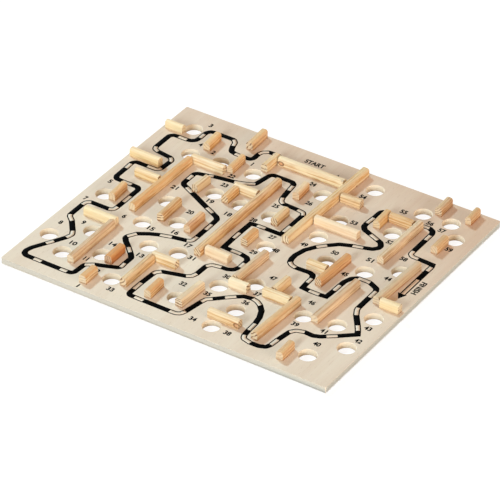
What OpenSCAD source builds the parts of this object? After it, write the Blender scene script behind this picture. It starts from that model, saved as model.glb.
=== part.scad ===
// Plate of a wooden labyrinth game: a drilled plywood board with wall strips glued on top.
// Lengths are in millimetres. X runs along the front edge, Y runs to the back edge where the
// marble starts, and Z is up. The origin is on the floor, under the middle of the board.

/* [Board] */
// Width of the board along its front edge
board_w = 275; // [265:1:330]
// Depth of the board from its front edge to its back edge
board_d = 235; // [227:1:285]
// Thickness of the plywood
board_t = 5; // [4:0.5:8]
// Rounding of the four corners, seen from above
corner_r = 1.2; // [0.4:0.2:4]

/* [Marble holes] */
// Diameter of a drilled hole, a little over the marble that falls through it
hole_d = 13.5; // [12:0.5:15]
// Easing round the upper rim of a hole
rim_r = 0.4; // [0.2:0.1:1.2]

/* [Wall strips] */
// Width of most strips
strip_w = 5.5; // [4:0.1:6.5]
// Height of a strip above the board
strip_h = 6.8; // [4:0.1:10]
// Rounding of the two upper edges of a strip
strip_r = 2; // [0.4:0.1:2.6]
// Glue gap between the end of a strip and the strip that it meets
butt_gap = 0.8; // [0.2:0.1:1.2]
// Room left where a strip stops just short of another one
pass_gap = 1; // [0.5:0.1:2]

/* [Hidden] */
$fn = 96;

// The maze is set out on squared paper, 55 squares wide and 47 squares deep, counted from the
// front left corner. These are the sides of one square.
square_x = board_w / 55;
square_y = board_d / 47;
hole_r = hole_d / 2;
bite = 1;

// Marble holes in squares: from the left edge, from the front edge.
HOLES = [
    [2.3, 8.6], [6.5, 6], [7.1, 12.6], [11.6, 8.6], [16.2, 4.5],
    [16, 14], [20.5, 14.9], [26.4, 5.9], [29.8, 11.5], [34.2, 3.1],
    [35, 8], [33.9, 14.6], [43.7, 12], [49, 4.8], [48.7, 12.8],
    [52.6, 9.1], [52.2, 16.8], [3.1, 21.2], [11.8, 18.4], [11.9, 24.7],
    [16.2, 21], [16.5, 30.1], [21.4, 29.7], [26.6, 29.6], [30.1, 23],
    [35.1, 29.2], [39.3, 24.8], [45.2, 25.6], [49.5, 28.4], [7.7, 36.7],
    [4.4, 42.4], [12.7, 37.3], [18.4, 37.4], [30, 38.4], [35.4, 34.3],
    [35.7, 43.7], [43.5, 35.8], [44.7, 42.4], [49.4, 42.5], [51.9, 39.3]
];

// Wall strips: name, axis that the strip runs along, its centre line and its two ends in squares,
// how many degrees it was glued out of true and, where its lath is wider or slimmer than the
// others, its share of the strip width. An end that is a name butts against that strip. A name in
// brackets is flush with the far face of that strip, and a name with a gap in brackets stops that
// far short of it.
WALLS = [
    ["wall_back_left", "y", 14.4, 42.3, 46.7, 2.5],
    ["wall_by_4", "y", 9.1, 38.7, 42.2, 4],
    ["wall_by_22", "y", 15.4, 35.6, 39.3, 2.5, 0.85],
    ["start_return", "y", 19.5, 38.7, ["start_rail"], 0],
    ["left_spine", "y", 9, 19.8, "cross_by_22", -0.5],
    ["wall_by_23", "y", 14, 28.7, 31.9, -3],
    ["wall_by_19", "y", 19.1, 28.8, "cross_by_18", 0],
    ["middle_spine", "y", 23.2, 15.7, 37, 0],
    ["wall_by_24", "y", 27.2, 35.2, 38.4, 4],
    ["wall_by_25", "y", 28.2, 28, 31.4, 1],
    ["start_divider", "y", 32.2, 25.2, 46.3, -1.2, 1.1],
    ["wall_by_56", "y", 46.7, 43.2, 46.5, 1],
    ["wall_by_57", "y", 51.5, 43.5, 46.5, 2, 0.85],
    ["wall_by_52", "y", 40.9, 35.5, ["cross_by_55"], 1.5],
    ["right_spine", "y", 46.1, 28.4, 39.1, -1],
    ["wall_by_59", "y", 51.1, 34.7, 38, 1],
    ["finish_wall", "y", 50.9, 19.8, 30.4, -2.5],
    ["wall_by_45", "y", 41.7, 19, 26.5, -2.5],
    ["wall_by_46", "y", 46, 11.4, 22, -2.2],
    ["wall_by_5", "y", 4.9, 20.3, 23.8, 4],
    ["wall_by_20", "y", 13.8, 19.9, 24.9, 2],
    ["wall_by_16", "y", 18.7, 19.6, 23.7, 1.5],
    ["wall_by_29", "y", 27.4, 21.4, 24.5, 1],
    ["wall_by_48", "y", 31.5, "cross_by_30", 20.8, -2],
    ["wall_by_10", "y", 9, 4.4, "cross_by_6", 1],
    ["wall_by_14", "y", 13.6, 7.2, 10.8, 1.5, 1.1],
    ["wall_by_12", "y", 13.4, 1.3, 4.3, 0.5, 1.1],
    ["wall_by_13", "y", 18.6, 3.9, "cross_by_31", 0],
    ["wall_by_33", "y", 23, 3.5, 7, 2],
    ["wall_by_32", "y", 28, 4.2, 9.6, -2.5, 1.1],
    ["wall_by_47", "y", 37.6, "cross_by_37", 17.3, -2],
    ["wall_by_39", "y", 41.2, 3.6, 14, -3],
    ["wall_by_40", "y", 46.3, 1.7, 4.9, 1.5],
    ["cross_by_3", "x", 40.8, 0.6, 3.7, 0, 0.85],
    ["cross_left", "x", 31.7, 0.5, 5.8, -2],
    ["cross_by_21", "x", 27.8, 4.1, "left_spine", 0, 0.85],
    ["cross_by_22", "x", 35.2, 9.1, ["wall_by_22", pass_gap], 0],
    ["start_rail", "x", 41.8, "start_return", "start_divider", 0],
    ["cross_by_6", "x", 15.6, 3.7, 9.2, 0],
    ["cross_by_18", "x", 32.5, ["wall_by_19"], "middle_spine", 0],
    ["cross_by_54", "x", 38.8, "start_divider", 36.4, 1],
    ["cross_by_53", "x", 31.9, "start_divider", 40.2, 0],
    ["cross_by_55", "x", 38.4, "wall_by_52", "right_spine", 0],
    ["cross_by_17", "x", 17, "middle_spine", 28, -3],
    ["cross_by_31", "x", 11.7, 18.4, 22.5, 0],
    ["cross_by_30", "x", 12.5, 31, 34.1, 0],
    ["cross_by_37", "x", 13.2, 36.3, "wall_by_39", 0],
    ["cross_by_50", "x", 22.3, 37.8, "wall_by_45", 0],
    ["finish_stop", "x", 20, "finish_wall", 54.5, 0],
    ["cross_by_38", "x", 4.9, 32.6, 37.8, -1]
];

// The row of a named strip.
function strip(name) = WALLS[search([name], WALLS)[0]];

// Distance of a strip's centre line from the left or the front edge.
function line(s) = s[2] * (s[1] == "x" ? square_y : square_x);

// The same, measured where another strip meets it, with the lean of the glued strip.
function line_at(s, along) =
    s[5] == 0 ? line(s) : line(s) + (s[1] == "x" ? 1 : -1) * tan(s[5]) * (along - middle(s));

// Position of one end along its strip. The side is 1 for the lower end and -1 for the upper end.
function end_at(s, end, side) =
    is_num(end) ? end * (s[1] == "x" ? square_x : square_y)
    : is_string(end) ? line_at(strip(end), line(s)) + side * (half_across(strip(end)) + butt_gap)
    : len(end) == 1 ? line_at(strip(end[0]), line(s)) - side * half_across(strip(end[0]))
    : line_at(strip(end[0]), line(s)) + side * (half_across(strip(end[0])) + end[1]);

// Width of the lath that a strip was cut from.
function lath_w(s) = strip_w * (len(s) > 6 ? s[6] : 1);

// Half of a strip's width, measured square to the paper's lines.
function half_across(s) = lath_w(s) / 2 / cos(s[5]);

function lower_end(s) = end_at(s, s[3], 1);
function upper_end(s) = end_at(s, s[4], -1);
function middle(s) = (lower_end(s) + upper_end(s)) / 2;

// Outline of the board with rounded corners.
module board_outline() {
    for (x = [corner_r, board_w - corner_r])
        for (y = [corner_r, board_d - corner_r])
            translate([x, y])
                circle(corner_r);
    translate([corner_r, 0])
        square([board_w - 2 * corner_r, board_d]);
    translate([0, corner_r])
        square([board_w, board_d - 2 * corner_r]);
}

// Half section of the drill: a straight bore, opened out by an arc at the upper face.
module drill_section() {
    lift = rim_r / 4;
    translate([0, -bite])
        square([hole_r, board_t + 2 * bite]);
    difference() {
        translate([0, board_t - rim_r])
            square([hole_r + rim_r, rim_r + bite]);
        translate([hole_r + rim_r + lift, board_t - rim_r - lift])
            circle(norm([lift, rim_r + lift]));
    }
}

module maze_board() {
    color("BurlyWood")
        translate([-board_w / 2, -board_d / 2, 0])
            difference() {
                linear_extrude(board_t)
                    board_outline();
                for (h = HOLES)
                    translate([h[0] * square_x, h[1] * square_y, 0])
                        rotate_extrude()
                            drill_section();
            }
}

// Section of a strip: flat underneath for the glue, rounded along both upper edges.
// The rounding is kept inside the width and the height.
module strip_section(wide) {
    crown_r = min(strip_r, 0.45 * wide, 0.8 * strip_h);
    translate([-wide / 2, 0])
        square([wide, strip_h - crown_r]);
    translate([crown_r - wide / 2, 0])
        square([wide - 2 * crown_r, strip_h]);
    for (x = [-1, 1])
        translate([x * (wide / 2 - crown_r), strip_h - crown_r])
            circle(crown_r);
}

module wall(s) {
    along = middle(s);
    reach = upper_end(s) - lower_end(s);
    place = s[1] == "x" ? [along, line(s)] : [line(s), along];
    color("NavajoWhite")
        translate([place[0] - board_w / 2, place[1] - board_d / 2, board_t])
            rotate([0, 0, s[5]])
                rotate([90, 0, s[1] == "x" ? 90 : 0])
                    linear_extrude(reach, center = true)
                        strip_section(lath_w(s));
}

maze_board();
for (s = WALLS)
    wall(s);
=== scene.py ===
# %% [markdown]
# # The plate of a wooden labyrinth game
# A drilled sheet of birch plywood carries fifty pine strips, and the way from START to FINISH is
# printed between them. The solids come from the CAD frame, in metres, and stay where they are.
# This script gives them their wood, prints the route and sets up the picture.

# %% Load the frame
import math
import random

import bmesh
import bpy
from mathutils import Matrix, Vector


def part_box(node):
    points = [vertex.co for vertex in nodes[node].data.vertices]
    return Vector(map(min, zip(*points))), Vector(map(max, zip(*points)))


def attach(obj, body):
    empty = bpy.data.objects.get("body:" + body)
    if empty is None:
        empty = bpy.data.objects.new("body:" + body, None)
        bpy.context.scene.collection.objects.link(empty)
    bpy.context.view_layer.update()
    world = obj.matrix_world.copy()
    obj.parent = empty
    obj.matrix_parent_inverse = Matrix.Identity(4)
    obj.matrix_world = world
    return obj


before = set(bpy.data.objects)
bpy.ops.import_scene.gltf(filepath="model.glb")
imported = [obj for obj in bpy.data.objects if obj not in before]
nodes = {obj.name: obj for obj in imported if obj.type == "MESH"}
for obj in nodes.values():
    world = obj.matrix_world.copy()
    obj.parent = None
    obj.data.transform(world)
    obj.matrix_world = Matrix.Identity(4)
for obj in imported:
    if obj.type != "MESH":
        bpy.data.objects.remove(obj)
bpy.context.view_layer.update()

MM = 0.001
scene = bpy.context.scene
board_low, board_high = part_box("maze_board")
BOARD_W, BOARD_D, BOARD_T = board_high - board_low
print("nodes:", len(nodes), "board:", [round(v / MM, 1) for v in (BOARD_W, BOARD_D, BOARD_T)], "mm")


# %% [markdown]
# ## The camera
# The photograph was taken from far away with a long lens, so parallel edges stay nearly parallel.
# Such a camera is best set by four plain facts: which way it looks from, how high, how far away,
# and how long its lens is. A turn of a fraction of a degree about its own axis levels the picture.

# %% Set the camera
PICTURE_PX = 500
FOCAL_PX = 3500
SENSOR_MM = 36
VIEW_AZIMUTH = math.radians(33.66)
VIEW_HEIGHT = math.radians(35.56)
VIEW_ROLL = math.radians(-0.17)
VIEW_DISTANCE = 2511 * MM
VIEW_TARGET = Vector((1.96, -6.19, 0)) * MM
FARTHEST_SEEN = 20

back = Vector((math.sin(VIEW_AZIMUTH) * math.cos(VIEW_HEIGHT),
               -math.cos(VIEW_AZIMUTH) * math.cos(VIEW_HEIGHT), math.sin(VIEW_HEIGHT)))
right = Vector((0, 0, 1)).cross(back).normalized()
up = back.cross(right)
turned_right = math.cos(VIEW_ROLL) * right + math.sin(VIEW_ROLL) * up
turned_up = math.cos(VIEW_ROLL) * up - math.sin(VIEW_ROLL) * right

camera = bpy.data.objects.new("camera", bpy.data.cameras.new("camera"))
scene.collection.objects.link(camera)
camera.data.sensor_width = SENSOR_MM
camera.data.lens = FOCAL_PX / PICTURE_PX * SENSOR_MM
camera.data.clip_end = FARTHEST_SEEN
camera.matrix_world = Matrix.Translation(VIEW_TARGET + back * VIEW_DISTANCE) @ Matrix(
    (turned_right, turned_up, back)).transposed().to_4x4()
scene.camera = camera
scene.view_settings.view_transform = "Standard"
print("lens:", camera.data.lens, "mm")


# %% [markdown]
# ## A short way to write nodes
# A wood material is mostly arithmetic on a place in space, and long lists of Math nodes hide that.
# The small class below wraps an output socket, so that `1 - ring` adds its own Math node. Every
# other node comes from one method that takes the type, the settings and the values of the sockets.
# The same method serves the materials, the world and the Geometry Nodes.

# %% Wrap a socket
class Wire:
    """An output socket that can be used in a Python expression."""

    def __init__(self, tree, socket):
        self.tree = tree
        self.socket = socket

    def pick(self, output):
        """Another output of the same node."""
        return Wire(self.tree, self.socket.node.outputs[output])

    def ramp(self, low, high):
        """Rises from 0 to 1 between two values, or falls if the first is the greater."""
        return self.tree.node("ShaderNodeMapRange", {"interpolation_type": "SMOOTHSTEP"},
                              {"Value": self, "From Min": low, "From Max": high})

    def __add__(self, other):
        return self.tree.maths("ADD", self, other)

    __radd__ = __add__

    def __sub__(self, other):
        return self.tree.maths("SUBTRACT", self, other)

    def __rsub__(self, other):
        return self.tree.maths("SUBTRACT", other, self)

    def __mul__(self, other):
        return self.tree.maths("MULTIPLY", self, other)

    __rmul__ = __mul__

    def __truediv__(self, other):
        return self.tree.maths("DIVIDE", self, other)

    def __rtruediv__(self, other):
        return self.tree.maths("DIVIDE", other, self)

    def __pow__(self, other):
        return self.tree.maths("POWER", self, other)

    def __rpow__(self, other):
        return self.tree.maths("POWER", other, self)

    def __abs__(self):
        return self.tree.maths("ABSOLUTE", self)


print("made:", Wire.__doc__)


# %% Wrap a node tree
class Tree:
    """A node tree that is being put together."""

    def __init__(self, graph):
        self.graph = graph
        graph.nodes.clear()

    def node(self, kind, settings=None, inputs=None, output=0):
        """Adds a node, sets it up, feeds its sockets and gives one of its outputs."""
        made = self.graph.nodes.new(kind)
        for key, value in (settings or {}).items():
            if key == "stops":
                self.set_stops(made.color_ramp.elements, value)
            else:
                setattr(made, key, value)
        for key, value in (inputs or {}).items():
            if isinstance(value, Wire):
                self.graph.links.new(value.socket, made.inputs[key])
            else:
                made.inputs[key].default_value = value
        return Wire(self, made.outputs[output]) if made.outputs else None

    def set_stops(self, elements, stops):
        """Gives a Color Ramp its stops, each a position and a grey level."""
        while len(elements) < len(stops):
            elements.new(0.5)
        for element, (position, level) in zip(elements, stops):
            element.position = position
            element.color = (level, level, level, 1)

    def maths(self, operation, first, second=0.0):
        return self.node("ShaderNodeMath", {"operation": operation}, {0: first, 1: second})

    def seen(self):
        """1 for a ray from the camera, or one that a glossy or a clear surface sends on."""
        rays = self.node("ShaderNodeLightPath", output="Is Camera Ray")
        either = self.maths("MAXIMUM", rays, rays.pick("Is Glossy Ray"))
        return self.maths("MAXIMUM", either, rays.pick("Is Transmission Ray"))


print("made:", Tree.__doc__)


# %% Wrap a material
# Sockets of a Mix node that mixes colours.
MIX_FACTOR, MIX_FIRST, MIX_SECOND, MIX_RESULT = 0, 6, 7, 2


class Finish(Tree):
    """A material that is being put together."""

    def __init__(self, name):
        self.material = bpy.data.materials.new(name)
        self.material.use_nodes = True
        super().__init__(self.material.node_tree)

    def blend(self, factor, first, second, mode="MIX"):
        """Mixes two colours."""
        return self.node("ShaderNodeMix", {"data_type": "RGBA", "blend_type": mode, "clamp_factor": True},
                         {MIX_FACTOR: factor, MIX_FIRST: first, MIX_SECOND: second}, MIX_RESULT)

    def streaks(self, place, grain, across, along, detail, roughness=0.55, seed=None):
        """Noise that is drawn out along the grain, which runs on axis 0 or 1 of the place."""
        scales = [across, across, across]
        scales[grain] = along
        stretched = self.node("ShaderNodeVectorMath", {"operation": "MULTIPLY"}, {0: place, 1: scales})
        inputs = {"Vector": stretched, "Scale": 1.0, "Detail": detail, "Roughness": roughness}
        if seed is None:
            return self.node("ShaderNodeTexNoise", {}, inputs)
        return self.node("ShaderNodeTexNoise", {"noise_dimensions": "4D"}, {**inputs, "W": seed})

    def end(self, shader):
        """Ends the material in a shader."""
        self.node("ShaderNodeOutputMaterial", {}, {"Surface": shader})
        return self.material

    def close(self, **inputs):
        """Ends the material in a Principled shader. An underscore stands for a space."""
        sockets = {key.replace("_", " "): value for key, value in inputs.items()}
        return self.end(self.node("ShaderNodeBsdfPrincipled", {}, sockets))


def shade(red, green, blue):
    """A colour as a paint program shows it, 0 to 255, turned into light values."""
    def linear(v):
        v /= 255
        return v / 12.92 if v <= 0.04045 else ((v + 0.055) / 1.055) ** 2.4
    return (linear(red), linear(green), linear(blue), 1)


print("middle grey as light:", round(shade(128, 128, 128)[0], 3))


# %% [markdown]
# ## The floor
# The plate lies on plain white paper. Lamps alone would leave the paper grey, or would need to be
# so bright that the wood bleaches. So the paper glows a little, only for the rays that show it in
# the picture, and what is left of its matt part still takes the shadow of the plate. For all other
# rays it is pale matt paper that throws some light up at the wood.

# %% Lay the floor
FLOOR_SIZE = 6
FLOOR_DROP = 0.2 * MM
WHITE = (1, 1, 1, 1)
PAPER_PALE = (0.8, 0.8, 0.8, 1)
PAPER_SHADED = (0.25, 0.25, 0.25, 1)
PAPER_GLOW = 0.84

ground = bpy.data.meshes.new("floor")
half = FLOOR_SIZE / 2
ground.from_pydata([(-half, -half, -FLOOR_DROP), (half, -half, -FLOOR_DROP),
                    (half, half, -FLOOR_DROP), (-half, half, -FLOOR_DROP)], [], [(0, 1, 2, 3)])
floor = bpy.data.objects.new("floor", ground)
scene.collection.objects.link(floor)

paper = Finish("floor_paper")
matt = paper.node("ShaderNodeBsdfDiffuse", {}, {"Color": PAPER_PALE})
faint = paper.node("ShaderNodeBsdfDiffuse", {}, {"Color": PAPER_SHADED})
glow = paper.node("ShaderNodeEmission", {}, {"Color": WHITE, "Strength": PAPER_GLOW})
lit = paper.node("ShaderNodeAddShader", {}, {0: faint, 1: glow})
ground.materials.append(paper.end(paper.node("ShaderNodeMixShader", {}, {0: paper.seen(), 1: matt, 2: lit})))
print("floor:", FLOOR_SIZE, "m wide, of", paper.material.name)


# %% [markdown]
# ## The light
# A cool key lamp stands behind the plate on the left, a cool softer one low in front, and a broad
# warm one low on the right, in a room that is warm all round. Sun lamps light every strip alike,
# and their angle sets how soft the shadows are. Together they light a flat surface at about
# strength one, so a colour looks as it is written. In the picture itself the room is white.

# %% Light the studio
ROOM_COLOUR = (1.0, 0.60, 0.34, 1)
ROOM_LIGHT = 0.4
# Name, where the light comes from, strength, width in degrees and colour.
LAMPS = [
    ("key_lamp", (-1.05, 0.42, 1.0), 2.23, 7, (0.50, 0.82, 1.0)),
    ("front_lamp", (0.0, -0.914, 0.407), 2.34, 18, (0.70, 0.88, 1.0)),
    ("side_lamp", (0.97, -0.1, 0.18), 1.77, 40, (1.0, 0.89, 0.78)),
]

world = bpy.data.worlds.new("studio")
world.use_nodes = True
scene.world = world
sky = Tree(world.node_tree)
room = sky.node("ShaderNodeBackground", {}, {"Color": ROOM_COLOUR, "Strength": ROOM_LIGHT})
white = sky.node("ShaderNodeBackground", {}, {"Color": WHITE, "Strength": 1.0})
sky.node("ShaderNodeOutputWorld", {}, {
    "Surface": sky.node("ShaderNodeMixShader", {}, {0: sky.seen(), 1: room, 2: white})})

for name, source, strength, spread, colour in LAMPS:
    light = bpy.data.lights.new(name, "SUN")
    light.energy = strength
    light.angle = math.radians(spread)
    light.color = colour
    lamp = bpy.data.objects.new(name, light)
    lamp.rotation_euler = Vector(source).to_track_quat("Z", "Y").to_euler()
    scene.collection.objects.link(lamp)
print("lamps:", len(LAMPS), "room light:", ROOM_LIGHT)


# %% [markdown]
# ## Birch plywood: the face
# The sheet is three layers: two face veneers and a core that runs the other way. A rotary-cut birch
# face is nearly plain: a soft broad figure along the grain, very fine fibres and short dark pores.
# This one turns brown towards the back and the right, partly its own tone and partly painted fall-off
# of light. Noise that is stretched along the grain gives all of these. It reads the place in space, so
# it needs no unwrapping and has no seams.

# %% Write the face of the veneer
VENEER_CREAM = shade(232, 217, 195)
VENEER_TAN = shade(211, 181, 154)
VENEER_PORE = shade(176, 142, 108)
SHEET_GRAIN = 1
# Noise in the veneer, for each metre: its scale across the grain and along it, and its detail.
BROAD_FIGURE = (38, 7, 3.0)
NARROW_BANDS = (210, 9, 2.0)
VENEER_FIBRES = (2600, 60, 3.0)
VENEER_PORES = (1900, 160, 1.0)
PORE_STOPS = [(0.66, 0), (0.74, 1)]
BAND_SHARE = 0.3
FIGURE_CONTRAST = 1.5
PORE_SHARE = 0.28
VENEER_FIBRE_SHARE = 0.1


def browner(to_right, to_back):
    """How brown the sheet is, 0 in its front left corner."""
    # Part of this is painted fall-off of light, so the back and the right come out darker.
    return to_back * (0.25 + to_back * 0.45) * (0.9 + to_right * 0.25) + to_right ** 3 * 0.36


def veneer_face(wood, place, to_right, to_back):
    """Colour of the face, with the fibres and the pores that also roughen it."""
    figure = wood.streaks(place, SHEET_GRAIN, *BROAD_FIGURE)
    bands = wood.streaks(place, SHEET_GRAIN, *NARROW_BANDS)
    fibres = wood.streaks(place, SHEET_GRAIN, *VENEER_FIBRES)
    pores = wood.node("ShaderNodeValToRGB", {"stops": PORE_STOPS},
                      {0: wood.streaks(place, SHEET_GRAIN, *VENEER_PORES)})
    mean_figure = figure * (1 - BAND_SHARE) + bands * BAND_SHARE
    tone = browner(to_right, to_back) + (mean_figure - 0.5) * FIGURE_CONTRAST
    colour = wood.blend(tone, VENEER_CREAM, VENEER_TAN)
    colour = wood.blend(pores * PORE_SHARE, colour, VENEER_PORE)
    colour = wood.blend(VENEER_FIBRE_SHARE, colour, fibres.pick("Color"), "SOFT_LIGHT")
    return colour, fibres, pores


print("brown at the back right corner:", round(browner(1, 1), 2))


# %% [markdown]
# ## Birch plywood: the sawn edges
# The layers only show on the sawn edges and in the holes. There the height alone says which layer
# it is, and the distance from the sides tells an edge from a hole. So one solid material covers
# the whole sheet, and no face has to be picked by hand. Every cut gets painted shade at its foot, and
# the holes darken downwards as painted shade. The front edge is pale at the left as painted light,
# and has a painted dark foot that grows to the right. Both near edges have a painted gleam from the
# floor at their foot, the right one most, and the right edge has a painted cool cast. The two far
# edges are more brown, a painted warm cast against the cool key lamp, and the underside is plain veneer.

# %% Write the holes and the far edges
CORE_HIGH = shade(250, 233, 206)
CORE_SHADED_LOW = shade(224, 206, 180)
HOLE_FOOT_SHADE = shade(140, 116, 86)
FAR_PAINTED_WARM_CAST = (0.93, 0.83, 0.74, 1)
# Each pair is where a ramp starts and ends: heights, or distances from a side.
CORE_SHADE_RISE = (1.2 * MM, 4.4 * MM)
UNDER_TOP = (BOARD_T - 0.05 * MM, BOARD_T - 0.25 * MM)
OVER_BASE = (0.02 * MM, 0.06 * MM)
HOLE_FOOT_SHADE_RISE = (0.6 * MM, 0.1 * MM)
EDGE_SKIN = (0.3 * MM, 0.1 * MM)
CUT_SHARE = 0.9
HOLE_FOOT_SHADE_SHARE = 0.6


def sawn_core(wood, face, x, y, height):
    """Lays the core over the face where it is cut, and tells where that is."""
    sawn = height.ramp(*UNDER_TOP) * height.ramp(*OVER_BASE)
    # Painted shade: the core darkens towards the bottom, for the depth of the holes; the far edges get it
    # too.
    core = wood.blend(height.ramp(*CORE_SHADE_RISE), CORE_SHADED_LOW, CORE_HIGH)
    colour = wood.blend(sawn * CUT_SHARE, face, core)
    from_far = wood.maths("MINIMUM", BOARD_W / 2 + x, BOARD_D / 2 - y)
    # A painted warm cast on the two far edges, which offsets the cool key lamp there.
    colour = wood.blend(from_far.ramp(*EDGE_SKIN) * sawn, colour, FAR_PAINTED_WARM_CAST, "MULTIPLY")
    # Painted shade at the foot of every cut, which shows most at the bottom of the holes.
    colour = wood.blend(height.ramp(*HOLE_FOOT_SHADE_RISE) * sawn * HOLE_FOOT_SHADE_SHARE, colour, HOLE_FOOT_SHADE)
    return colour, sawn


print("a cut shows from", round(OVER_BASE[1] / MM, 2), "to", round(UNDER_TOP[1] / MM, 2), "mm up")


# %% Write the near edges
EDGE_HIGH = shade(214, 204, 185)
EDGE_LOW = shade(190, 187, 176)
EDGE_PAINTED_LIGHT = shade(204, 196, 181)
EDGE_FOOT_SHADE = shade(112, 116, 114)
FLOOR_GLEAM = shade(250, 250, 248)
RIGHT_PAINTED_COOL_CAST = (0.84, 0.95, 1.04, 1)
# Ramps: heights, a distance from the middle of the board, and shares of the board's width.
EDGE_RISE = (1.2 * MM, 4.6 * MM)
EDGE_FOOT_SHADE_RISE = (1.8 * MM, 0.8 * MM)
RIGHT_GLEAM_RISE = (1.5 * MM, 0.3 * MM)
FRONT_GLEAM_RISE = (0.7 * MM, 0.1 * MM)
RIGHT_SKIN = (BOARD_W / 2 - 0.4 * MM, BOARD_W / 2 - 0.1 * MM)
PAINTED_LIGHT_REACH = (0.95, 0.65)
FOOT_SHADE_REACH = (0.12, 0.45)
CORNER_SHADE_REACH = (0.7, 1.0)
FOOT_SHADE_SHARE = 0.33
CORNER_SHADE_SHARE = 0.1
RIGHT_GLEAM = 0.95
FRONT_GLEAM = 0.35


def near_edges(wood, x, height, to_right):
    """Colour of the front edge and of the right edge, with their painted light and shade."""
    on_right = x.ramp(*RIGHT_SKIN)
    edge = wood.blend(height.ramp(*EDGE_RISE), EDGE_LOW, EDGE_HIGH)
    # Painted light: the front edge is paler at the left, and less so towards the right.
    edge = wood.blend(to_right.ramp(*PAINTED_LIGHT_REACH), edge, EDGE_PAINTED_LIGHT)
    # Painted shade: a dark foot along the front edge that grows towards the right.
    shaded = to_right.ramp(*FOOT_SHADE_REACH) * FOOT_SHADE_SHARE + to_right.ramp(*CORNER_SHADE_REACH) * CORNER_SHADE_SHARE
    edge = wood.blend(height.ramp(*EDGE_FOOT_SHADE_RISE) * (1 - on_right) * shaded, edge, EDGE_FOOT_SHADE)
    # Painted reflection: a gleam of light from the floor at the foot of the right edge, and a fainter one on
    # the front edge.
    gleam = height.ramp(*RIGHT_GLEAM_RISE) * on_right * RIGHT_GLEAM
    gleam = gleam + height.ramp(*FRONT_GLEAM_RISE) * (1 - on_right) * FRONT_GLEAM
    edge = wood.blend(gleam, edge, FLOOR_GLEAM)
    # A painted cool cast on the right edge, for the light from the white floor.
    return wood.blend(on_right, edge, RIGHT_PAINTED_COOL_CAST, "MULTIPLY")


print("the right edge starts at x", round(RIGHT_SKIN[0] / MM, 1), "mm")


# %% Put the plywood together
FACE_PLY = 1.1 * MM
GLUE_LINE = 0.12 * MM
GLUE_BROWN = shade(168, 142, 108)
GLUE_SHARE = 0.5
PORE_DEPTH = 0.6
VENEER_RELIEF = {"Strength": 0.25, "Distance": 0.04 * MM}
VENEER_ROUGHNESS = 0.52
VENEER_FIBRE_ROUGHNESS = 0.16
WOOD_SHEEN = 0.35


def birch():
    """Plywood as one solid: veneer on the faces, core in the holes, and edges by their side."""
    wood = Finish("birch_plywood")
    place = wood.node("ShaderNodeTexCoord", output="Object")
    x = wood.node("ShaderNodeSeparateXYZ", {}, {0: place})
    y, height = x.pick("Y"), x.pick("Z")
    to_right = x / BOARD_W + 0.5
    to_back = y / BOARD_D + 0.5
    face, fibres, pores = veneer_face(wood, place, to_right, to_back)
    colour, sawn = sawn_core(wood, face, x, y, height)
    from_near = wood.maths("MINIMUM", BOARD_W / 2 - x, BOARD_D / 2 + y)
    near = from_near.ramp(*EDGE_SKIN) * sawn
    colour = wood.blend(near * CUT_SHARE, colour, near_edges(wood, x, height, to_right))
    from_glue = abs(abs(height - BOARD_T / 2) - (BOARD_T / 2 - FACE_PLY))
    colour = wood.blend(from_glue.ramp(GLUE_LINE, 0.0) * GLUE_SHARE, colour, GLUE_BROWN)
    relief = wood.node("ShaderNodeBump", {}, {"Height": fibres - pores * PORE_DEPTH, **VENEER_RELIEF})
    return wood.close(Base_Color=colour, Roughness=VENEER_ROUGHNESS + fibres * VENEER_FIBRE_ROUGHNESS,
                      Normal=relief, Specular_IOR_Level=WOOD_SHEEN)


birch_plywood = birch()
nodes["maze_board"].data.materials.clear()
nodes["maze_board"].data.materials.append(birch_plywood)
print("board finished with", birch_plywood.name)


# %% [markdown]
# ## Pine strips: how each one lies
# The strips were glued by hand, most of them a few degrees out of true, and the grain has to follow
# the strip and not the board. A box round a strip hides such a small angle. So the corners of each
# end are averaged, and the line from one end to the other says how the strip runs.

# %% Measure how a strip lies
def strip_lie(name):
    """Middle of a strip's underside, the angle that it runs at, and half of its length."""
    low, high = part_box(name)
    middle = (low + high) / 2
    axis = 0 if high.x - low.x > high.y - low.y else 1
    ends = [[], []]
    for vertex in nodes[name].data.vertices:
        ends[vertex.co[axis] > middle[axis]].append(vertex.co)
    near, far = (sum(end, Vector()) / len(end) for end in ends)
    run = far - near
    return Vector((middle.x, middle.y, low.z)), math.atan2(run.y, run.x), run.length / 2


print("left_spine runs at", round(math.degrees(strip_lie("left_spine")[1]), 1), "degrees")


# %% [markdown]
# ## Pine strips: the laths
# Each strip was sawn from a different lath, so each has its own tone, and its top was sanded pale,
# left as it was or has gone golden. Chance could deal out the tones, but then no strip would look
# like itself, so they are written down. The rings are drawn by chance from a fixed seed, except
# where the real ones show clearly.

# %% Write down the tones
# Early and late wood of each tone.
PINE_TONES = {
    "pale": (shade(248, 230, 194), shade(236, 206, 160)),
    "cream": (shade(247, 224, 178), shade(238, 204, 150)),
    "rose": (shade(247, 220, 184), shade(236, 200, 152)),
    "oat": (shade(247, 226, 188), shade(228, 190, 138)),
    "straw": (shade(246, 224, 182), shade(218, 174, 116)),
    "butter": (shade(246, 216, 162), shade(224, 176, 112)),
    "honey": (shade(240, 210, 162), shade(208, 154, 96)),
    "ash": (shade(237, 213, 177), shade(198, 158, 117)),
    "wheat": (shade(233, 206, 164), shade(194, 150, 102)),
    "smoke": (shade(218, 194, 158), shade(186, 150, 112)),
    "golden": (shade(235, 203, 155), shade(194, 144, 90)),
    "amber": (shade(241, 203, 146), shade(207, 147, 82)),
    "orange": (shade(233, 197, 147), shade(190, 132, 78)),
    "red": (shade(229, 184, 134), shade(184, 116, 66)),
    "brown": (shade(226, 190, 144), shade(178, 126, 80)),
    "dark": (shade(212, 140, 82), shade(160, 78, 36)),
}
SOFT_TONES = ["pale", "cream", "rose"]
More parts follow.
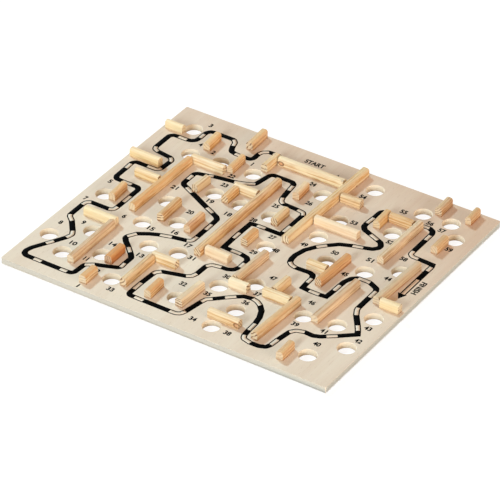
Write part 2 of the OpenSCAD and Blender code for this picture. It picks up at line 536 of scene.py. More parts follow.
# The tone of each lath, and how its top has worn.
LATHS = {
    "cross_by_53": ("rose", "plain"), "cross_by_30": ("pale", "pale"),
    "finish_stop": ("cream", "plain"), "cross_by_6": ("cream", "plain"),
    "cross_by_3": ("cream", "plain"), "cross_by_17": ("rose", "plain"),
    "cross_left": ("butter", "pale"), "cross_by_21": ("butter", "pale"),
    "cross_by_22": ("oat", "plain"), "start_rail": ("straw", "pale"), "cross_by_18": ("straw", "pale"),
    "cross_by_31": ("straw", "pale"), "cross_by_37": ("straw", "plain"), "cross_by_50": ("oat", "warm"),
    "cross_by_38": ("honey", "pale"), "cross_by_54": ("golden", "plain"),
    "cross_by_55": ("honey", "warm"), "start_return": ("straw", "plain"),
    "wall_by_47": ("honey", "plain"), "start_divider": ("straw", "warm"),
    "right_spine": ("ash", "plain"), "finish_wall": ("smoke", "plain"),
    "wall_by_39": ("wheat", "golden"), "wall_by_46": ("ash", "warm"), "wall_by_48": ("ash", "warm"),
    "wall_by_10": ("ash", "warm"), "wall_by_12": ("wheat", "amber"), "wall_by_23": ("wheat", "plain"),
    "wall_by_32": ("ash", "pale"), "wall_by_13": ("golden", "plain"), "wall_by_20": ("golden", "warm"),
    "wall_by_25": ("golden", "plain"), "wall_by_29": ("golden", "amber"),
    "wall_by_57": ("brown", "golden"), "left_spine": ("honey", "amber"),
    "wall_by_33": ("orange", "amber"), "wall_by_40": ("brown", "golden"),
    "wall_by_22": ("orange", "golden"), "wall_by_19": ("amber", "plain"),
    "wall_by_4": ("amber", "golden"), "wall_back_left": ("brown", "golden"),
    "wall_by_52": ("amber", "golden"), "wall_by_5": ("orange", "golden"), "wall_by_24": ("red", "pale"),
    "wall_by_45": ("red", "amber"), "wall_by_16": ("red", "plain"), "wall_by_56": ("brown", "plain"),
    "middle_spine": ("orange", "plain"), "wall_by_59": ("brown", "golden"),
    "wall_by_14": ("dark", "amber"),
}
print("tones:", len(PINE_TONES), "laths:", len(LATHS))


# %% Write down the rings, the ends and the knots
# Where the pith lies, in degrees from the left of the near end, over the top, to its right.
RING_TILT = {
    "wall_back_left": 45, "start_return": 90, "wall_by_23": 5, "middle_spine": 135, "wall_by_25": 140,
    "start_divider": 150, "wall_by_56": 65, "wall_by_52": 70, "right_spine": 115, "wall_by_45": 135,
    "wall_by_20": 80, "wall_by_14": 5, "wall_by_13": 60, "wall_by_32": 90, "wall_by_33": 120,
    "finish_wall": 85, "wall_by_10": 90, "wall_by_46": 60, "wall_by_59": 130, "start_rail": 100,
}
RING_SPACING = {"start_return": 3.4}
# Ends on which the late wood hardly shows.
PLAIN_ENDS = [
    "wall_by_59", "wall_by_4", "wall_by_22", "left_spine", "wall_by_24", "wall_by_57", "wall_by_46",
    "wall_by_5", "wall_by_16", "wall_by_10", "wall_by_12", "wall_by_33", "wall_by_40", "wall_by_52",
    "right_spine", "cross_by_3", "cross_left", "cross_by_53", "cross_by_6", "cross_by_17",
    "finish_wall",
]
# Knots, and one spot of painted shade: the strip, then the place along it, across it and up it, and the
# size, in millimetres.
KNOTS_AND_SHADE_SPOT = [
    ("start_rail", -25.5, -2.7, 2.8, 1.7),
    # Not a knot: a dark spot of painted shade at the right end of start_rail.
    ("start_rail", 27.6, -1.2, 6.0, 1.0),
    ("cross_by_38", 12.0, -2.7, 3.0, 1.8),
    ("wall_by_29", -7.0, -1.0, 4.6, 1.5),
    ("start_divider", 36.2, -3.0, 0.4, 0.5),
]
# What chance may draw, in degrees and millimetres.
TILT_DRAW = (15, 165)
PITH_DRAW = (8, 45)
SPACING_DRAW = (1.6, 2.8)
DRIFT_DRAW = (-0.008, 0.008)
SEED_DRAW = (0, 50)


def draw_rings(name, draw):
    """The place of the pith across and up, the spacing and the drift of the rings, and a seed."""
    tilt = math.radians(RING_TILT.get(name, draw.uniform(*TILT_DRAW)))
    away = draw.uniform(*PITH_DRAW)
    spacing = RING_SPACING.get(name, draw.uniform(*SPACING_DRAW))
    drift = draw.uniform(*DRIFT_DRAW)
    seed = draw.uniform(*SEED_DRAW)
    return away * math.cos(tilt), away * math.sin(tilt), spacing, drift, seed


print("tilts set:", len(RING_TILT), "plain ends:", len(PLAIN_ENDS), "knots:", len(KNOTS_AND_SHADE_SPOT))


# %% [markdown]
# ## Pine strips: the rings
# A solid texture does this best: the rings are long shells round a pith that lies outside the
# strip, so that they give lines on the sides, broad flames on top and stripes on the sawn ends
# without any matching by hand. A Mapping node turns the pattern along the strip and counts in
# millimetres. Noise lets the rings wander, and clouds and flecks of it break up their tone.

# %% Grow the wood of a lath
STRIP_GRAIN = 0
# Noise in a lath, for each millimetre: its scale across the grain and along it, and its detail.
RING_WANDER = (0.22, 0.01, 2.0)
PINE_FIBRES = (3.4, 0.05, 3.0)
PINE_CLOUDS = (0.12, 0.035, 2.0)
PINE_FLECKS = (1.1, 0.09, 2.0)
END_BLOTCHES = (0.55, 0.2, 1.0)
RESIN_DUCTS = (2.6, 0.22, 1.0)
CLOUD_RAMP = (0.32, 0.68)
FLECK_RAMP = (0.35, 0.65)
BLOTCH_RAMP = (0.3, 0.6)
DUCT_STOPS = [(0.70, 0), (0.78, 1)]
# How late the wood is through its year.
SEASON_STOPS = [(0.0, 0.12), (0.12, 0.0), (0.45, 0.14), (0.84, 0.9), (0.95, 1.0), (1.0, 0.12)]
WANDER_MM = 2.4


class Lath(Finish):
    """The material of one strip, in millimetres along it, across it and up it."""

    def __init__(self, name, draw):
        super().__init__("pine_" + name)
        self.middle, self.angle, half_length = strip_lie(name)
        self.half_mm = half_length / MM
        self.crosswise = abs(math.cos(self.angle)) > 0.5
        pith_across, pith_height, spacing, drift, self.seed = draw_rings(name, draw)
        self.local = self.node("ShaderNodeMapping", {"vector_type": "TEXTURE"}, {
            "Vector": self.node("ShaderNodeTexCoord", output="Object"),
            "Location": self.middle, "Rotation": (0, 0, self.angle), "Scale": (MM, MM, MM)})
        self.along = self.node("ShaderNodeSeparateXYZ", {}, {0: self.local})
        self.across, self.height = self.along.pick("Y"), self.along.pick("Z")
        self.wander = self.grain(RING_WANDER)
        self.fibres = self.grain(PINE_FIBRES)
        self.cloud = self.grain(PINE_CLOUDS).ramp(*CLOUD_RAMP)
        side, rise = self.across - pith_across, self.height - pith_height
        radius = (side * side + rise * rise) ** 0.5
        year = (radius + self.wander * WANDER_MM + self.along * drift) / spacing
        self.season = self.maths("FRACT", year)
        self.ring = self.node("ShaderNodeValToRGB", {"stops": SEASON_STOPS}, {0: self.season})

    def grain(self, noise):
        """Noise that is drawn out along this strip."""
        return self.streaks(self.local, STRIP_GRAIN, *noise, seed=self.seed)


print("fibres are drawn out", round(PINE_FIBRES[0] / PINE_FIBRES[1]), "times along the grain")


# %% [markdown]
# ## Pine strips: tone, knots, tops and ends
# Early and late wood mix by the rings, and short resin ducts darken them. A knot is a ball in the
# same space, with a dark rim and a paler core, so it cuts the surface as a real one does. The
# height fades in the worn top, and the place along the strip tells the two sawn ends, where the
# late wood shows as dark lines. Single faces could get materials of their own instead, but then
# the rings would have to be joined across them.

# %% Tone the wood and set the knots
# Resin brown, for the resin ducts and also for the painted shade at each strip's foot.
RESIN_AND_FOOT_SHADE = shade(150, 92, 50)
KNOT_CORE = shade(224, 172, 124)
KNOT_RIM = shade(120, 70, 36)
RING_SHARE = 0.45
RING_FIBRE_SHARE = 0.8
CLOUD_SHARE = 0.7
FLECK_SHARE = 0.7
SOFT_CONTRAST = 0.6
DUCT_SHARE = 0.4
KNOT_STRETCH = 0.7
KNOT_WANDER = 0.6
KNOT_RIM_W = 0.5
KNOT_CORE_IN = (0.3, 0.9)
KNOT_RIM_SHARE = 0.85
KNOT_CORE_SHARE = 0.9


def ring_tone(wood, tone):
    """Early and late wood with clouds, flecks and resin ducts."""
    early, late = PINE_TONES[tone]
    flecks = wood.grain(PINE_FLECKS).ramp(*FLECK_RAMP)
    ducts = wood.node("ShaderNodeValToRGB", {"stops": DUCT_STOPS}, {0: wood.grain(RESIN_DUCTS)})
    figure = wood.ring * (RING_SHARE + wood.fibres * RING_FIBRE_SHARE)
    figure = figure + (wood.cloud - 0.5) * CLOUD_SHARE + (flecks - 0.5) * FLECK_SHARE
    colour = wood.blend(figure * (SOFT_CONTRAST if tone in SOFT_TONES else 1.0), early, late)
    return wood.blend(ducts * DUCT_SHARE, colour, RESIN_AND_FOOT_SHADE)


def add_knots(wood, colour, name):
    """Cuts the strip's knots, and one spot of painted shade, into its colour."""
    for strip, knot_along, knot_across, knot_height, size in KNOTS_AND_SHADE_SPOT:
        if strip == name:
            run, side, rise = wood.along - knot_along, wood.across - knot_across, wood.height - knot_height
            away = ((run * KNOT_STRETCH) ** 2 + side ** 2 + rise ** 2) ** 0.5
            away = away + (wood.wander - 0.5) * KNOT_WANDER
            colour = wood.blend(away.ramp(size + KNOT_RIM_W, size) * KNOT_RIM_SHARE, colour, KNOT_RIM)
            core = away.ramp(size - KNOT_CORE_IN[0], size - KNOT_CORE_IN[1])
            colour = wood.blend(core * KNOT_CORE_SHARE, colour, KNOT_CORE)
    return colour


print("knots on:", sorted({knot[0] for knot in KNOTS_AND_SHADE_SPOT}))


# %% Wear the tops and saw the ends
PINE_SANDED = shade(249, 229, 192)
PINE_GOLDEN = shade(234, 196, 144)
PINE_AMBER = shade(220, 166, 106)
PINE_FALLOFF_SHADE = (0.69, 0.63, 0.60, 1)
END_EARLY = shade(228, 206, 174)
END_LATE = shade(122, 72, 40)
STRIP_H = (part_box("start_rail")[1].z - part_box("start_rail")[0].z) / MM
CROWN_RISE = (STRIP_H - 2.4, STRIP_H - 0.6)
FALLOFF_SHADE_SHARE = 0.7
FALLOFF_SHADE_FRONT = 0.4
FALLOFF_SHADE_CROSSWISE = 0.4
END_SKIN = (0.2, 0.1)
LATE_RISE = (0.5, 0.75)
LATE_STOP = (0.95, 1.0)
LATE_SHARE = 0.9
LATE_SHARE_PLAIN = 0.3
LATE_LEAST = 0.3
EARLY_SHARE = 0.3
EARLY_CLOUD = 0.3


def worn_top(wood, colour, top, late):
    """Fades in the worn tone of the top, and paints shade on it towards the back and the right."""
    crown = wood.height.ramp(*CROWN_RISE)
    worn, share = {"plain": (PINE_SANDED, 0.18), "pale": (PINE_SANDED, 0.55), "warm": (late, 0.35),
                   "golden": (PINE_GOLDEN, 0.7), "amber": (PINE_AMBER, 0.7)}[top]
    colour = wood.blend(crown * share, colour, worn)
    # Painted shade: the tops darken as the light falls off towards the back and the right, less on the cross
    # strips.
    to_right, to_back = wood.middle.x / BOARD_W + 0.5, wood.middle.y / BOARD_D + 0.5
    falloff_shade = to_right * (FALLOFF_SHADE_FRONT + to_back * (1 - FALLOFF_SHADE_FRONT))
    falloff_shade = falloff_shade * (FALLOFF_SHADE_CROSSWISE if wood.crosswise else 1.0)
    return wood.blend(crown * falloff_shade * FALLOFF_SHADE_SHARE, colour, PINE_FALLOFF_SHADE, "MULTIPLY")


def sawn_ends(wood, colour, name, early):
    """Lays the end grain over the two sawn ends."""
    sawn = abs(wood.along).ramp(wood.half_mm - END_SKIN[0], wood.half_mm - END_SKIN[1])
    blotch = wood.grain(END_BLOTCHES).ramp(*BLOTCH_RAMP)
    late_line = wood.season.ramp(*LATE_RISE) * (1 - wood.season.ramp(*LATE_STOP))
    late_line = late_line * (LATE_LEAST + blotch * (1 - LATE_LEAST))
    late_line = late_line * (LATE_SHARE_PLAIN if name in PLAIN_ENDS else LATE_SHARE)
    end_grain = wood.blend(EARLY_SHARE + wood.cloud * EARLY_CLOUD, END_EARLY, early)
    return wood.blend(sawn, colour, wood.blend(late_line, end_grain, END_LATE))


print("strips are", round(STRIP_H, 1), "mm high")


# %% Finish every strip
FOOT_SHADE_MM = (2.0, 0.0)
STRIP_FOOT_SHADE_SHARE = 0.6
STRIP_FOOT_SHADE_CROSSWISE = 0.35
PINE_FIBRE_SHARE = 0.3
RING_RELIEF = 0.5
PINE_RELIEF = {"Strength": 0.3, "Distance": 0.06 * MM}
PINE_ROUGHNESS = 0.5
PINE_FIBRE_ROUGHNESS = 0.18
RING_POLISH = 0.06
CHANCE_SEED = 12


def pine(name, tone, top, draw):
    """The whole material of one strip."""
    wood = Lath(name, draw)
    early, late = PINE_TONES[tone]
    colour = add_knots(wood, ring_tone(wood, tone), name)
    colour = worn_top(wood, colour, top, late)
    colour = sawn_ends(wood, colour, name, early)
    # Painted shade: each strip darkens to the resin brown over its lowest 2 mm, less on the cross strips.
    foot_shade = STRIP_FOOT_SHADE_CROSSWISE if wood.crosswise else STRIP_FOOT_SHADE_SHARE
    colour = wood.blend(wood.height.ramp(*FOOT_SHADE_MM) * foot_shade, colour, RESIN_AND_FOOT_SHADE)
    colour = wood.blend(PINE_FIBRE_SHARE, colour, wood.fibres.pick("Color"), "SOFT_LIGHT")
    relief = wood.node("ShaderNodeBump", {}, {
        "Height": wood.fibres + wood.ring * RING_RELIEF, **PINE_RELIEF})
    rough = PINE_ROUGHNESS + wood.fibres * PINE_FIBRE_ROUGHNESS - wood.ring * RING_POLISH
    return wood.close(Base_Color=colour, Roughness=rough, Normal=relief, Specular_IOR_Level=WOOD_SHEEN)


draw = random.Random(CHANCE_SEED)
for name, (tone, top) in LATHS.items():
    slots = nodes[name].data.materials
    slots.clear()
    slots.append(pine(name, tone, top, draw))
print("strips finished:", len(LATHS), "of", len(nodes) - 1)


# %% [markdown]
# ## The printed route
# The way of the marble is one ribbon of black ink with light windows in it. It could be part of the
# board's material, but a line that turns so often is far easier to write down as a row of corners.
# So the print is made of pieces a hair high: one black ribbon all the way, and a narrower one in
# the wood of the board wherever there is a window, which leaves the outline on both sides.

# %% Write down the route
# Places are in millimetres from the front left corner of the board. INK and GAP say what the line
# does from there on, and a third number is the bend of that corner, 0 where it is square.
INK, GAP = "ink", "gap"
ROUTE = [
    INK, (145.7, 215), (98, 215.6), (94, 217.6), GAP, (89.7, 217.6), INK, (86, 217.5),
    GAP, (82, 214.5), (81, 211.3), INK, (81, 204), (79, 201.8), (70, 201.8),
    GAP, (66, 202), INK, (62, 203), (60, 207), (59, 210), GAP, (58, 214), (55, 217),
    INK, (37, 217), (34.5, 216.5), (32.5, 213.5), (32.3, 211), GAP, (32.3, 205.2),
    INK, (31.8, 201), (29, 198.5), (25.4, 197.7), GAP, (18.1, 197.8),
    INK, (14, 197.5), (11.5, 195), (11.5, 177.6), GAP, (12.5, 174.5), (16.3, 173),
    INK, (29, 171.2), GAP, (32, 168.5), (31.8, 166.7), INK, (31.3, 156), GAP, (30, 152.8), (21, 152.7),
    INK, (11, 152.7), (9, 150.5), (8.9, 148.5), GAP, (9.2, 142),
    INK, (9.3, 130), (11, 126.8), (17, 126.5), GAP, (25, 126.4),
    INK, (31, 126.2), (33, 123.5), (33, 113.7), GAP, (33, 105), INK, (33, 97.4),
    GAP, (32.5, 93), (29.2, 91.8), INK, (13.4, 91.8), GAP, (10.3, 90), (9.9, 86),
    INK, (9.9, 71), GAP, (11, 68.8), (15.5, 65), INK, (23.5, 55), GAP, (26, 51), (24.5, 46),
    INK, (19.7, 37.2), GAP, (16.6, 32), INK, (11, 22), (9.8, 17.5), (10.5, 14), (13.5, 12.2), (20.5, 12.2),
    GAP, (27, 12.2), INK, (43.5, 12.2), GAP, (49.3, 12.2), INK, (53, 12.8), (54.3, 15), (55, 26),
    GAP, (60.8, 30), INK, (70, 33.3), (76.5, 36), (78.3, 37.5), GAP, (78, 43),
    INK, (78, 51), (75.5, 54), (73.3, 56.2), GAP, (68.8, 60.5), INK, (63, 65.5), (60, 69), (60.2, 71.3),
    GAP, (64, 77.5), INK, (72, 82.5), (79, 85.5), GAP, (87.5, 88), INK, (99, 90.3),
    GAP, (102.5, 92), (102.7, 98), INK, (102.7, 108.9), GAP, (102.7, 116.6),
    INK, (102.5, 124), (100, 126.5), (95, 129), GAP, (88, 132.3), INK, (67.8, 142.4),
    GAP, (61, 145.7), INK, (57, 147.5), (55.7, 150), (55.7, 155), GAP, (55.7, 161),
    INK, (55.7, 164), (58, 165.3), (66, 167.2), GAP, (69.3, 168.3), INK, (86, 171),
    GAP, (95, 173.8), (96, 174.5), (100.7, 176.7), INK, (103, 190), (104, 193.5), (107, 194), (122, 194),
    (124.5, 192), (125, 190), GAP, (125.7, 183.6), INK, (127, 173.2), GAP, (128.5, 169), (131.3, 167),
    INK, (144.6, 166.3), GAP, (150, 165.5), (151.6, 162.5), INK, (151.5, 146), GAP, (151.1, 137.5),
    INK, (151, 133.7, 0), (137.8, 133.7), GAP, (131, 133.7), INK, (125.7, 133.1, 0), (125.3, 119.2),
    GAP, (125.3, 111.2), INK, (125.7, 98.2, 0), (132.3, 97.8), GAP, (140.7, 97.7),
    INK, (146.5, 96.5), (149, 93.5), (149, 89.8), GAP, (149, 84), INK, (147, 79), (143, 77), (138, 76.7),
    GAP, (131, 75.5), (128.2, 72), INK, (127.9, 60.7), GAP, (126.5, 56.5), (123.1, 54.2),
    INK, (105.4, 49.1), GAP, (102.5, 46), (102, 43.7), INK, (101.3, 30), GAP, (101.2, 21.2),
    INK, (101.2, 15.5), (103, 13.7), (107, 13.7), GAP, (114.4, 13.6), INK, (136.8, 13.6),
    GAP, (142, 13.8), (145, 15.5), (146.5, 19.4), INK, (149.3, 35), GAP, (150.5, 39), (154, 41.9),
    INK, (160.5, 48), GAP, (166.4, 53.2), INK, (171, 56.5), (177.6, 57.5), GAP, (182, 56.5), (186, 53.9),
    INK, (190.5, 49), (193.5, 42), (195, 34.1), GAP, (195.3, 25.7), INK, (196, 19.2),
    GAP, (197.5, 15.5), (204.2, 13.9), INK, (211, 14), (216, 16), (217.5, 19.8), GAP, (218.2, 27.4),
    INK, (220.1, 39.2), GAP, (223, 43), (228.9, 44.9), INK, (236, 44.5), (241, 46.5), (244.3, 49),
    GAP, (250.4, 53.6), INK, (261.1, 62.5, 0), (258.9, 66.5), GAP, (255.5, 71.5), INK, (248.3, 81.2),
    GAP, (245.5, 86.5), (245, 89.2), INK, (245, 104), GAP, (245, 112.4), INK, (243.5, 115.5), (236, 119),
    GAP, (226.3, 119.2), INK, (222.5, 116), (220.3, 110), (220, 104.7), GAP, (219.8, 97.2),
    INK, (219.2, 87.9, 0), (213.7, 87.3), GAP, (205.3, 87.3), INK, (199.5, 87.9, 0), (199, 94.9),
    GAP, (199, 100.6), INK, (197.5, 104.5), (194, 105.8), (182.2, 105.3), GAP, (178, 106.5), (175.2, 108.9),
    INK, (174, 113), (173.8, 118), (176, 127), (181, 134.8), GAP, (186.3, 140.4),
    INK, (193, 146.5), (201.9, 150.2), GAP, (209.3, 152.3),
    INK, (216, 154.5), (219, 158), (219, 161), (216.5, 164.5), (213, 166), GAP, (205.4, 169.1),
    INK, (198.5, 171.8), (195.8, 175.2), (195.5, 180), GAP, (196.2, 188), INK, (196.5, 198), (200, 199.2),
    (231, 198.7), GAP, (236.4, 199.2), INK, (240.5, 197), (241.8, 194), (241.8, 191.6), GAP, (241.8, 185),
    INK, (241.8, 168.5), GAP, (241.8, 164.5), (244.5, 162.3), (249.5, 162.2),
    INK, (261.7, 161.6, 0), (262.6, 158.7), GAP, (262.5, 153.2), INK, (262.5, 140.6), GAP, (262.5, 120),
]
runs = []
for item in ROUTE:
    if isinstance(item, str):
        runs.append((item, runs[-1][1][-1:] if runs else []))
    else:
        runs[-1][1].append(item)
windows = [points for kind, points in runs if kind == GAP]
whole_way = [runs[0][1][0]] + [point for _, points in runs for point in points[1:]]
print("corners:", len(whole_way), "windows:", len(windows))


# %% [markdown]
# ## The ribbon
# The ribbon follows a path, so a Geometry Nodes tree makes it: the path becomes a curve, each corner
# is rounded by its own bend, and a thin rectangle is swept along it. A square corner would get thin
# that way, so each corner also carries its mitre, which feeds the sweep's Scale input and keeps the
# width. The result is then turned into a plain mesh.

# %% Build the tree of the ribbon
ARC_POINTS = 6
RIBBON_INPUTS = {"Path": "Geometry", "Width": "Float", "Thickness": "Float", "Material": "Material"}


def ribbon_tree():
    """The tree, and the identifiers of its inputs."""
    group = bpy.data.node_groups.new("printed_ribbon", "GeometryNodeTree")
    ports = {}
    for name, kind in RIBBON_INPUTS.items():
        port = group.interface.new_socket(name, in_out="INPUT", socket_type="NodeSocket" + kind)
        ports[name] = port.identifier
    group.interface.new_socket("Ribbon", in_out="OUTPUT", socket_type="NodeSocketGeometry")
    tree = Tree(group)
    path = tree.node("NodeGroupInput", output="Path")
    bend = tree.node("GeometryNodeInputNamedAttribute", {"data_type": "FLOAT"}, {"Name": "bend"})
    mitre = tree.node("GeometryNodeInputNamedAttribute", {"data_type": "FLOAT"}, {"Name": "mitre"})
    line = tree.node("GeometryNodeMeshToCurve", {}, {"Mesh": path})
    line = tree.node("GeometryNodeFilletCurve", {"mode": "POLY"}, {
        "Curve": line, "Count": ARC_POINTS, "Radius": bend, "Limit Radius": True})
    line = tree.node("GeometryNodeSetCurveNormal", {"mode": "Z_UP"}, {"Curve": line})
    section = tree.node("GeometryNodeCurvePrimitiveQuadrilateral", {}, {
        "Width": path.pick("Width"), "Height": path.pick("Thickness")})
    swept = tree.node("GeometryNodeCurveToMesh", {}, {
        "Curve": line, "Profile Curve": section, "Scale": mitre, "Fill Caps": True})
    swept = tree.node("GeometryNodeRealizeInstances", {}, {"Geometry": swept})
    swept = tree.node("GeometryNodeSetMaterial", {}, {"Geometry": swept, "Material": path.pick("Material")})
    tree.node("NodeGroupOutput", {}, {"Ribbon": swept})
    return group, ports


RIBBON, PORTS = ribbon_tree()
print("nodes in", RIBBON.name, len(RIBBON.nodes), "inputs:", list(PORTS))


# %% Sweep a ribbon over the board
CORNER_BEND = 3.0
PRINT_WELD = 0.002 * MM


def on_board(x, y, lift=0.0):
    """A place on the upper face, from millimetres counted from the front left corner."""
    return Vector((board_low.x + x * MM, board_low.y + y * MM, board_high.z + lift))


def bend_and_mitre(path, i):
    """The bend of a corner in metres, and how much a square corner widens the ribbon."""
    bend = path[i][2] if len(path[i]) > 2 else CORNER_BEND
    if bend > 0:
        return bend * MM, 1.0
    before, corner, after = (Vector(point[:2]) for point in path[i - 1:i + 2])
    turn = (corner - before).angle(after - corner)
    return 0.0, 1 / math.cos(turn / 2)


def keep(piece):
    """Welds a printed piece, turns its faces outwards and sets it on the board."""
    work = bmesh.new()
    work.from_mesh(piece.data)
    bmesh.ops.remove_doubles(work, verts=work.verts, dist=PRINT_WELD)
    bmesh.ops.recalc_face_normals(work, faces=work.faces)
    work.to_mesh(piece.data)
    work.free()
    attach(piece, "root")
    return piece


def ribbon(name, paths, width, low, high, material):
    """Sweeps a flat ribbon along each path, from one height over the board to another."""
    verts, edges, corners = [], [], []
    for path in paths:
        first = len(verts)
        verts += [on_board(point[0], point[1], (low + high) / 2) for point in path]
        corners += [bend_and_mitre(path, i) for i in range(len(path))]
        edges += [(i, i + 1) for i in range(first, len(verts) - 1)]
    mesh = bpy.data.meshes.new(name)
    mesh.from_pydata(verts, edges, [])
    for label, values in zip(("bend", "mitre"), zip(*corners)):
        mesh.attributes.new(label, "FLOAT", "POINT").data.foreach_set("value", values)
    piece = bpy.data.objects.new(name, mesh)
    scene.collection.objects.link(piece)
    sweep = piece.modifiers.new("sweep", "NODES")
    sweep.node_group = RIBBON
    sweep[PORTS["Width"]] = width
    sweep[PORTS["Thickness"]] = high - low
    sweep[PORTS["Material"]] = material
    solid = bpy.data.meshes.new_from_object(piece.evaluated_get(bpy.context.evaluated_depsgraph_get()))
    piece.modifiers.clear()
    piece.data = solid
    return keep(piece)


print("front left corner:", [round(v / MM, 1) for v in on_board(0, 0)], "mm")


# %% [markdown]
# ## Ink and line
# Printing ink on wood is matt and almost plain black, a little thinner where the grain stands up.
# A flat black would look like a hole in the board, so a faint streak along the grain carries its
# colour, its roughness and its relief. The black ribbon reaches a hair into the board, and a window
# a hair into the ink, so that no two faces lie in the same plane.

# %% Mix the ink
INK_BLACK = shade(2, 2, 2)
INK_WORN = shade(14, 12, 10)
INK_GRAIN = (1600, 90, 3.0)
INK_GRAIN_ROUGHNESS = 0.5
WORN_STOPS = [(0.55, 0), (0.85, 1)]
WORN_SHARE = 0.6
INK_RELIEF = {"Strength": 0.15, "Distance": 0.03 * MM}
INK_ROUGHNESS = 0.6
INK_FIBRE_ROUGHNESS = 0.2
INK_SHEEN = 0.02


def ink():
    """Black printing ink on wood."""
    black = Finish("printing_ink")
    place = black.node("ShaderNodeTexCoord", output="Object")
    grain = black.streaks(place, SHEET_GRAIN, *INK_GRAIN, roughness=INK_GRAIN_ROUGHNESS)
    worn = black.node("ShaderNodeValToRGB", {"stops": WORN_STOPS}, {0: grain})
    colour = black.blend(worn * WORN_SHARE, INK_BLACK, INK_WORN)
    relief = black.node("ShaderNodeBump", {}, {"Height": grain, **INK_RELIEF})
    return black.close(Base_Color=colour, Roughness=INK_ROUGHNESS + grain * INK_FIBRE_ROUGHNESS,
                       Normal=relief, Specular_IOR_Level=INK_SHEEN)


printing_ink = ink()
print("mixed", printing_ink.name)


# %% Print the line and its windows
LINE_W = 4.5 * MM
OUTLINE_W = 0.88 * MM
ARROW_OUTLINE_W = 0.98 * MM
INK_TOP = 0.03 * MM
WINDOW_TOP = 0.05 * MM
SINK = 0.01 * MM

lines = [
    ribbon("route_line", [whole_way], LINE_W, -SINK, INK_TOP, printing_ink),
    ribbon("route_windows", windows[:-1], LINE_W - 2 * OUTLINE_W, SINK, WINDOW_TOP, birch_plywood),
    ribbon("finish_window", windows[-1:], LINE_W - 2 * ARROW_OUTLINE_W, SINK, WINDOW_TOP, birch_plywood),
]
for piece in lines:
    print(piece.name, len(piece.data.polygons), "faces")


# %% [markdown]
# ## Numbers and words
# The way is counted with 59 printed numbers, and its two ends are named. Blender's own font gives
# plain letters, but they are too thin for this print, so their outlines are pushed outwards in the
# plane. Each text is made a mesh of a hair's thickness before it is put in place, so that the
# finished piece sits at the origin like the CAD nodes.

# %% Write down the numbers
# The middle of each number, in millimetres from the front left corner, counted from 1.
NUMBER_PLACES = [
    (84.5, 197.5), (51.7, 194.5), (30, 223.5), (38, 198), (9.5, 121.5), (44, 90.5), (7, 94), (10, 59),
    (24, 68), (33, 43), (51.7, 32.5), (66.3, 24.6), (81.7, 57.1), (57.5, 57.5), (69, 88.5), (86.5, 94),
    (103.5, 85.7), (105.5, 134), (85.5, 140.5), (81, 121), (53.5, 141), (80.5, 176), (82.5, 163.5),
    (136, 200), (128.5, 161.7), (147, 178), (148, 127.5), (124.8, 138), (147, 104.5), (147.7, 69.5),
    (114, 74.5), (126.7, 45.4), (87.5, 12), (155.7, 15), (147.7, 45), (176, 51), (177.3, 64),
    (185, 14.5), (218.5, 49), (243.5, 38), (239.3, 53.1), (265.5, 56.5), (263.5, 72.5), (244, 130),
    (215.5, 118), (214.5, 76.5), (176, 86), (158.9, 115.2), (172, 132.5), (196, 136), (221.6, 142.2),
    (222, 168.5), (187.5, 175), (175.4, 206.5), (210.4, 206.5), (234, 204.5), (245.6, 201.3),
    (241, 156.5), (261.9, 184),
]
NUMBER_H = 4.1 * MM
DIGIT_W = 2.7 * MM
DIGIT_GAP = 0.3 * MM
# Numbers that are all ones are slim and take a share of the width.
SLIM_NUMBERS = {1: 0.2, 11: 0.6}
print("numbers:", len(NUMBER_PLACES))


# %% Cut the letters
BOLD = 0.225 * MM
SHARPEST_CORNER = 0.6
LETTER_WELD = 0.001 * MM


def embolden(flat):
    """Moves the outline of a flat shape outwards in its own plane."""
    work = bmesh.new()
    work.from_mesh(flat)
    bmesh.ops.remove_doubles(work, verts=work.verts, dist=LETTER_WELD)
    pulls = {}
    for edge in work.edges:
        if edge.is_boundary:
            run = edge.verts[1].co - edge.verts[0].co
            out = Vector((run.y, -run.x, 0)).normalized()
            if out.dot(edge.link_faces[0].calc_center_median() - edge.verts[0].co) > 0:
                out = -out
            for vert in edge.verts:
                pulls.setdefault(vert, []).append(out)
    for vert, outs in pulls.items():
        mean = sum(outs, Vector()).normalized()
        vert.co += mean * BOLD / max(SHARPEST_CORNER, mean.dot(outs[0]))
    work.to_mesh(flat)
    work.free()


def letters(body, centre, height, width, turn=0.0):
    """A flat word as a mesh: where its middle goes, its height, its width and its turn."""
    curve = bpy.data.curves.new(body, "FONT")
    curve.body = body
    curve.size = 1.0
    text = bpy.data.objects.new(body, curve)
    scene.collection.objects.link(text)
    flat = bpy.data.meshes.new_from_object(text.evaluated_get(bpy.context.evaluated_depsgraph_get()))
    bpy.data.objects.remove(text)
    xs = [vertex.co.x for vertex in flat.vertices]
    ys = [vertex.co.y for vertex in flat.vertices]
    middle = Vector((max(xs) + min(xs), max(ys) + min(ys), 0)) / 2
    scale = Matrix.Diagonal((width / (max(xs) - min(xs)), height / (max(ys) - min(ys)), 1, 1))
    flat.transform(Matrix.Translation(on_board(*centre, -SINK)) @ Matrix.Rotation(turn, 4, "Z") @ scale
                   @ Matrix.Translation(-middle))
    embolden(flat)
    return flat


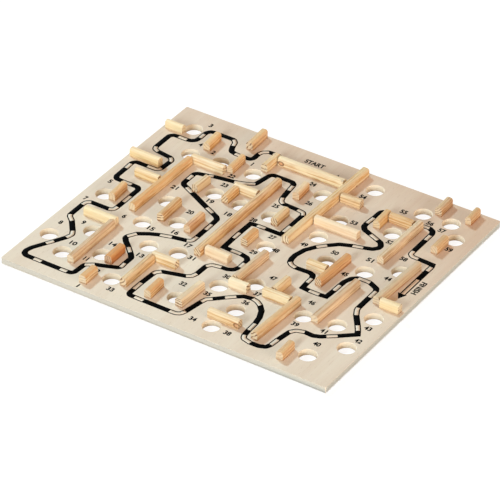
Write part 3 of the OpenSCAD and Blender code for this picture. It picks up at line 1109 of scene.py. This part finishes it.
def outline(corners):
    """A flat face from corners on the board."""
    mesh = bpy.data.meshes.new("outline")
    mesh.from_pydata([on_board(x, y, -SINK) for x, y in corners], [], [list(range(len(corners)))])
    return mesh


def printed(name, *shapes):
    """Joins flat shapes to one piece and gives it the thickness of the ink."""
    work = bmesh.new()
    for shape in shapes:
        work.from_mesh(shape)
        bpy.data.meshes.remove(shape)
    bmesh.ops.remove_doubles(work, verts=work.verts, dist=LETTER_WELD)
    grown = bmesh.ops.extrude_face_region(work, geom=work.faces[:], use_keep_orig=True)["geom"]
    bmesh.ops.translate(work, verts=[g for g in grown if isinstance(g, bmesh.types.BMVert)],
                        vec=(0, 0, SINK + INK_TOP))
    mesh = bpy.data.meshes.new(name)
    work.to_mesh(mesh)
    work.free()
    mesh.materials.append(printing_ink)
    piece = bpy.data.objects.new(name, mesh)
    scene.collection.objects.link(piece)
    return keep(piece)


print("letters are", round(BOLD / MM, 3), "mm bolder than the font")


# %% Print the numbers and the words
# Words: the middle in millimetres, the height and the width.
START_WORD = ((123, 223.2), 4.3 * MM, 16.3 * MM)
FINISH_WORD = ((268.5, 132.1), 4.2 * MM, 16.0 * MM)
ALONG_RIGHT_EDGE = -math.pi / 2
# Corners of the small marks.
FINISH_ARROW = [(262.4, 113.7), (265.6, 120.2), (258.4, 120.2)]
START_TICK = [(143.9, 216), (147.5, 216), (145.7, 221)]
FRONT_TICK = [(65.2, 1), (66.4, 1), (66.8, 5), (65.6, 5)]

numbers = []
for count, centre in enumerate(NUMBER_PLACES, 1):
    wide = DIGIT_W * len(str(count)) - DIGIT_GAP
    numbers.append(letters(str(count), centre, NUMBER_H, wide * SLIM_NUMBERS.get(count, 1.0)))
marks = [
    printed("hole_numbers", *numbers),
    printed("start_word", letters("START", *START_WORD)),
    printed("finish_word", letters("FINISH", *FINISH_WORD, ALONG_RIGHT_EDGE)),
    printed("finish_arrow", outline(FINISH_ARROW)),
    printed("start_tick", outline(START_TICK)),
    printed("front_tick", outline(FRONT_TICK)),
]
print("printed:", [piece.name for piece in marks])


# %% [markdown]
# ## The end
